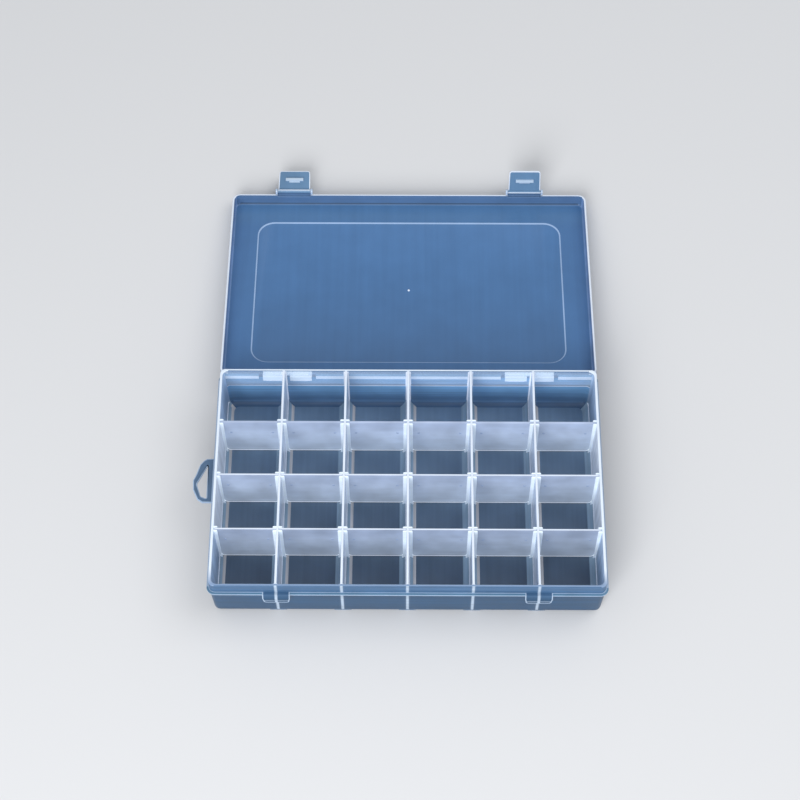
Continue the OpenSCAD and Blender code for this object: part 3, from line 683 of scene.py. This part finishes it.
for out, r, z, look in ((1.0, panel_r - 0.1, plate_z, PLATE), (0.6, panel_r - 0.3, plate_z, PLATE),
                        (-0.7, panel_r - 0.9, plate_z + step, STEP)):
    rings.append((pw - lid_t + out, pd - lid_t + out, r, z, look))
bm = bmesh.new()
loft(bm, rings, steps=8)
bmesh.ops.recalc_face_normals(bm, faces=bm.faces)
for f in bm.faces:
    if len(f.verts) > 4:
        f.material_index = PLATE
    elif f.material_index in (INNER, NOOK) and abs(f.normal.x) > abs(f.normal.y):
        f.material_index = HAZE_AND_LIGHT
    elif f.material_index == NOOK and abs(f.normal.x) > 0.1:
        f.material_index = INNER
# The panel reaches a little nearer to the hinge than to the far edge.
for v in bm.verts:
    if 0 < v.co.y < pd / 2 + 0.8 and abs(v.co.x) < pw / 2 + 0.8:
        v.co.y += panel_shift
# Shallow notches in the skirt's edge, in front at the latches and behind
# between the hinge's ears.
barrel_half, notch_h, notch_slope, end_zone = 8.9, 1.1, 0.12, 55
latch_half = barrel_half + 0.3
notches = [(side * feature_x, latch_half, -1) for side in (-1, 1)]
notches += [(side * hinge_x, (ear_x[2] - ear_x[0] - ear_t) / 2, 1) for side in (-1, 1)]
for at, half, end in notches:
    for x in (at - half - notch_slope, at - half, at + half, at + half + notch_slope):
        cut(bm, (x, 0, 0), (1, 0, 0))
    for v in bm.verts:
        if abs(v.co.x - at) < half + 0.05 and v.co.z < edge_z + 0.35 and end * v.co.y > end_zone:
            v.co.z += notch_h
for f in bm.faces:
    at = f.calc_center_median()
    if f.material_index == RIM and at.y < -end_zone and abs(abs(at.x) - feature_x) < latch_half:
        f.material_index = INNER
    elif f.material_index == RIM and at.y > end_zone and abs(at.x) < lid_w / 2 - corner:
        f.material_index = SKIRT
    elif f.material_index in (SKIRT, HAZE_AND_LIGHT) and at.z < edge_z + 0.25 and abs(at.x) > lid_w / 2 - 2:
        f.material_index = RIM
# The mark that the sprue left in the middle of the plate.
sprue_r, sprue_tip_r, sprue_h = 0.7, 0.35, 0.5
bmesh.ops.create_cone(bm, cap_ends=True, segments=12, radius1=sprue_r, radius2=sprue_tip_r, depth=sprue_h,
                      matrix=Matrix.Translation((0, 0, plate_z + step - 0.2))
                      @ Matrix.Rotation(math.pi, 4, "X"))
for f in bm.faces:
    if f.calc_center_median().xy.length < 0.8 and len(f.verts) < 20 and f.calc_area() < 3:
        f.material_index = RIM
finish(bm, "lid_shell", "lid", ["lid"], lid_looks, matrix=opened)

# ---- Lid ears and pins ----
# Ears on the skirt carry the hinge pins behind and the latches in front, and
# a small ledge joins each latch's two ears. All are moulded with the lid.

def axle(bm, radius, length, place=(0, 0, 0), segments=24):
    """A round bar along X."""
    bmesh.ops.create_cone(bm, cap_ends=True, segments=segments, radius1=radius, radius2=radius, depth=length,
                          matrix=Matrix.Translation(place) @ Matrix.Rotation(math.radians(90), 4, "Y"))


latch_ear = milky("latch ear", "#B4C8E2", 0.95, streak_depth=0.04)
ear_r, pin_r = 1.8, 1.1
ear_rib = [(rear_y + skirt_in + 0.2, hinge_z + 4.5), (rear_y + skirt_in + 0.2, hinge_z),
           (hinge_y + 1.7, hinge_z + 0.3), (hinge_y + 0.9, hinge_z + 1.6), (rear_y + 1.35, hinge_z + 4.5)]
pivot_y, pivot_z = front_y - 2.9, flange_top - 0.5
latch_ear_r, latch_ear_t, latch_rib_t = 1.3, 1.0, 0.96
latch_rib = [(front_y - skirt_in - 0.2, edge_z), (front_y - skirt_in - 0.2, edge_z + 3.4),
             (front_y - 1.3, edge_z + 3.4), (pivot_y - 0.65, pivot_z + 1.12), (pivot_y, pivot_z),
             (pivot_y + 1.1, edge_z)]
ledge = [(front_y - 1.2, edge_z + 1.4), (front_y - 1.2, edge_z + 2.4), (pivot_y + 0.2, pivot_z + 1.9),
         (pivot_y + 0.2, pivot_z + 1.3)]
for side in (-1, 1):
    tag = "left" if side < 0 else "right"
    bm = bmesh.new()
    for x in ear_x:
        axle(bm, ear_r, ear_t, (side * x, hinge_y, hinge_z), segments=28)
        start = trace(bm, [(side * x - ear_t / 2 + 0.02, py, pz) for py, pz in ear_rib])
        draw_out(bm, [start], (ear_t - 0.04, 0, 0))
    axle(bm, pin_r, ear_x[2] - ear_x[0] + 0.4, (side * hinge_x, hinge_y, hinge_z))
    finish(bm, f"hinge_ears_{tag}", "lid", ["lid"], [lump], matrix=opened)
    bm = bmesh.new()
    for s in (-1, 1):
        x = side * feature_x + s * (latch_half + 0.5)
        axle(bm, latch_ear_r, latch_ear_t, (x, pivot_y, pivot_z))
        start = trace(bm, [(x - latch_rib_t / 2, py, pz) for py, pz in latch_rib])
        draw_out(bm, [start], (latch_rib_t, 0, 0))
    near = trace(bm, [(side * feature_x - latch_half - 0.1, py, pz) for py, pz in ledge])
    ends = list(near.verts)
    ends += draw_out(bm, [near], (2 * latch_half + 0.2, 0, 0))
    for f in {f for v in ends for f in v.link_faces}:
        f.material_index = 1
    finish(bm, f"latch_ears_{tag}", "lid", ["lid"], [latch_ear, lid_inner], matrix=opened)

# ---- Latches ----
# Two flaps that hang from the lid's front ears and snap under the catches. Each
# is moulded of the same plastic, with a barrel and trunnions at its root and a
# bar across its inner face.
bar_look = milky("latch bar", "#B9CDE2", 0.95, streak_depth=0.04)
latch_sheet = milky("latch", "#6488AC", 0.95, streaks=(150, 30, 30), streak_depth=0.05, cloud_depth=0.08)
flap_half, tip_half, flap_l, flap_t = 8.85, 8.55, 13.45, 1.0
tip_r, flap_round, flap_line, bar_round = 1.4, 0.2, 0.3, 0.12
outline = [(-flap_half, 0.0), (flap_half, 0.0), (tip_half, -flap_l), (-tip_half, -flap_l)]
# The bar and the low pad above it: width, height over the flap, upper and
# lower end.
bars = ((9.8, 1.05, -6.6, -8.2), (6.0, 0.28, -5.7, -6.7))
barrel_r, trunnion_r, trunnion_l = 1.1, 0.6, 20.2
for side in (-1, 1):
    tag = "left" if side < 0 else "right"
    joint = next(j for j in frame["joints"] if j["name"] == f"latch_{tag}_pivot")
    turned = -joint["range_deg"][0]
    bm = bmesh.new()
    corners = list(trace(bm, [(px, 0.1, pz) for px, pz in outline]).verts)
    round_off(bm, corners[2:], tip_r, 5, "VERTICES")
    draw_out(bm, list(bm.faces), (0, -flap_t, 0))
    bmesh.ops.recalc_face_normals(bm, faces=bm.faces)
    rim = [e for e in bm.edges if abs(e.link_faces[0].normal.y - e.link_faces[1].normal.y) > 0.5]
    round_off(bm, rim, flap_round, 2)
    # Its sides and a border round its faces are painted with the white edge highlight.
    line = border(bm, [f for f in bm.faces if abs(f.normal.y) > 0.99], flap_line)
    for f in bm.faces:
        f.material_index = 1 if f in line or abs(f.normal.y) < 0.99 else 0
    plain = set(bm.faces)
    for bar_w, top, z0, z1 in bars:
        part = bmesh.ops.create_cube(bm, size=1.0)["verts"]
        bmesh.ops.scale(bm, vec=(bar_w, top + 0.3, z0 - z1), verts=part)
        bmesh.ops.translate(bm, vec=(0, (top - 0.3) / 2, (z0 + z1) / 2), verts=part)
        lip = [e for e in edges_of(part) if all(v.co.y > 0 for v in e.verts)]
        round_off(bm, lip, bar_round, 2)
    raised = set(bm.faces) - plain
    axle(bm, barrel_r, 2 * barrel_half)
    axle(bm, trunnion_r, trunnion_l)
    # The strip of the barrel and trunnions that faces the flap's inner side is painted white: a painted
    # highlight.
    for f in bm.faces:
        if f in raised:
            f.material_index = 2
        elif f not in plain:
            f.material_index = 1 if f.normal.y > 0.96 else 0
    place = (opened @ Matrix.Translation((side * feature_x, pivot_y, pivot_z))
             @ Matrix.Rotation(math.radians(-turned), 4, "X"))
    finish(bm, f"latch_{tag}_flap", f"latch_{tag}", [f"latch_{tag}"], [latch_sheet, edge, bar_look],
           matrix=place)

# ---- Floor, light and camera ----
# A plain pale floor under soft studio light: a square lamp in front and a
# weaker one behind, to the right. The camera stands at the photograph's angle.
bm = bmesh.new()
bmesh.ops.create_grid(bm, x_segments=1, y_segments=1, size=4.0)
mesh = bpy.data.meshes.new("studio_floor")
bm.to_mesh(mesh)
bm.free()
floor = bpy.data.objects.new("studio_floor", mesh)
bpy.context.scene.collection.objects.link(floor)
pale = bpy.data.materials.new("pale studio floor")
pale.use_nodes = True
shader = pale.node_tree.nodes["Principled BSDF"]
shader.inputs["Base Color"].default_value = linear("#D9DADC")
shader.inputs["Roughness"].default_value = 0.8
mesh.materials.append(pale)

world = bpy.data.worlds.new("studio")
world.use_nodes = True
sky = world.node_tree.nodes["Background"]
sky.inputs["Color"].default_value = (0.95, 0.97, 1.0, 1.0)
sky.inputs["Strength"].default_value = 0.55
bpy.context.scene.world = world

box_middle = Vector((0, 0.06, 0))
for name, place, size, power in (("key", (-0.35, -1.25, 0.95), 0.9, 20.0), ("fill", (0.9, 0.2, 1.5), 1.2, 7.0)):
    lamp = bpy.data.lights.new(name, "AREA")
    lamp.shape = "SQUARE"
    lamp.size = size
    lamp.energy = power
    lit = bpy.data.objects.new(name, lamp)
    lit.location = place
    lit.rotation_euler = (box_middle - Vector(place)).to_track_quat("-Z", "Y").to_euler()
    bpy.context.scene.collection.objects.link(lit)
bpy.context.scene.view_settings.view_transform = "Standard"

cam_data = bpy.data.cameras.new("camera")
cam_data.sensor_width = 36.0
cam_data.lens = 89.375
cam = bpy.data.objects.new("camera", cam_data)
# How far it looks to the left and down, and how far it leans, in degrees.
turn, down, roll = 0.589, 60.043, -0.31
cam.matrix_world = (Matrix.Translation((0.000988, -0.461827, 0.907714))
                    @ Matrix.Rotation(math.radians(turn), 4, "Z")
                    @ Matrix.Rotation(math.radians(90 - down), 4, "X")
                    @ Matrix.Rotation(math.radians(roll), 4, "Z"))
bpy.context.scene.collection.objects.link(cam)
bpy.context.scene.camera = cam
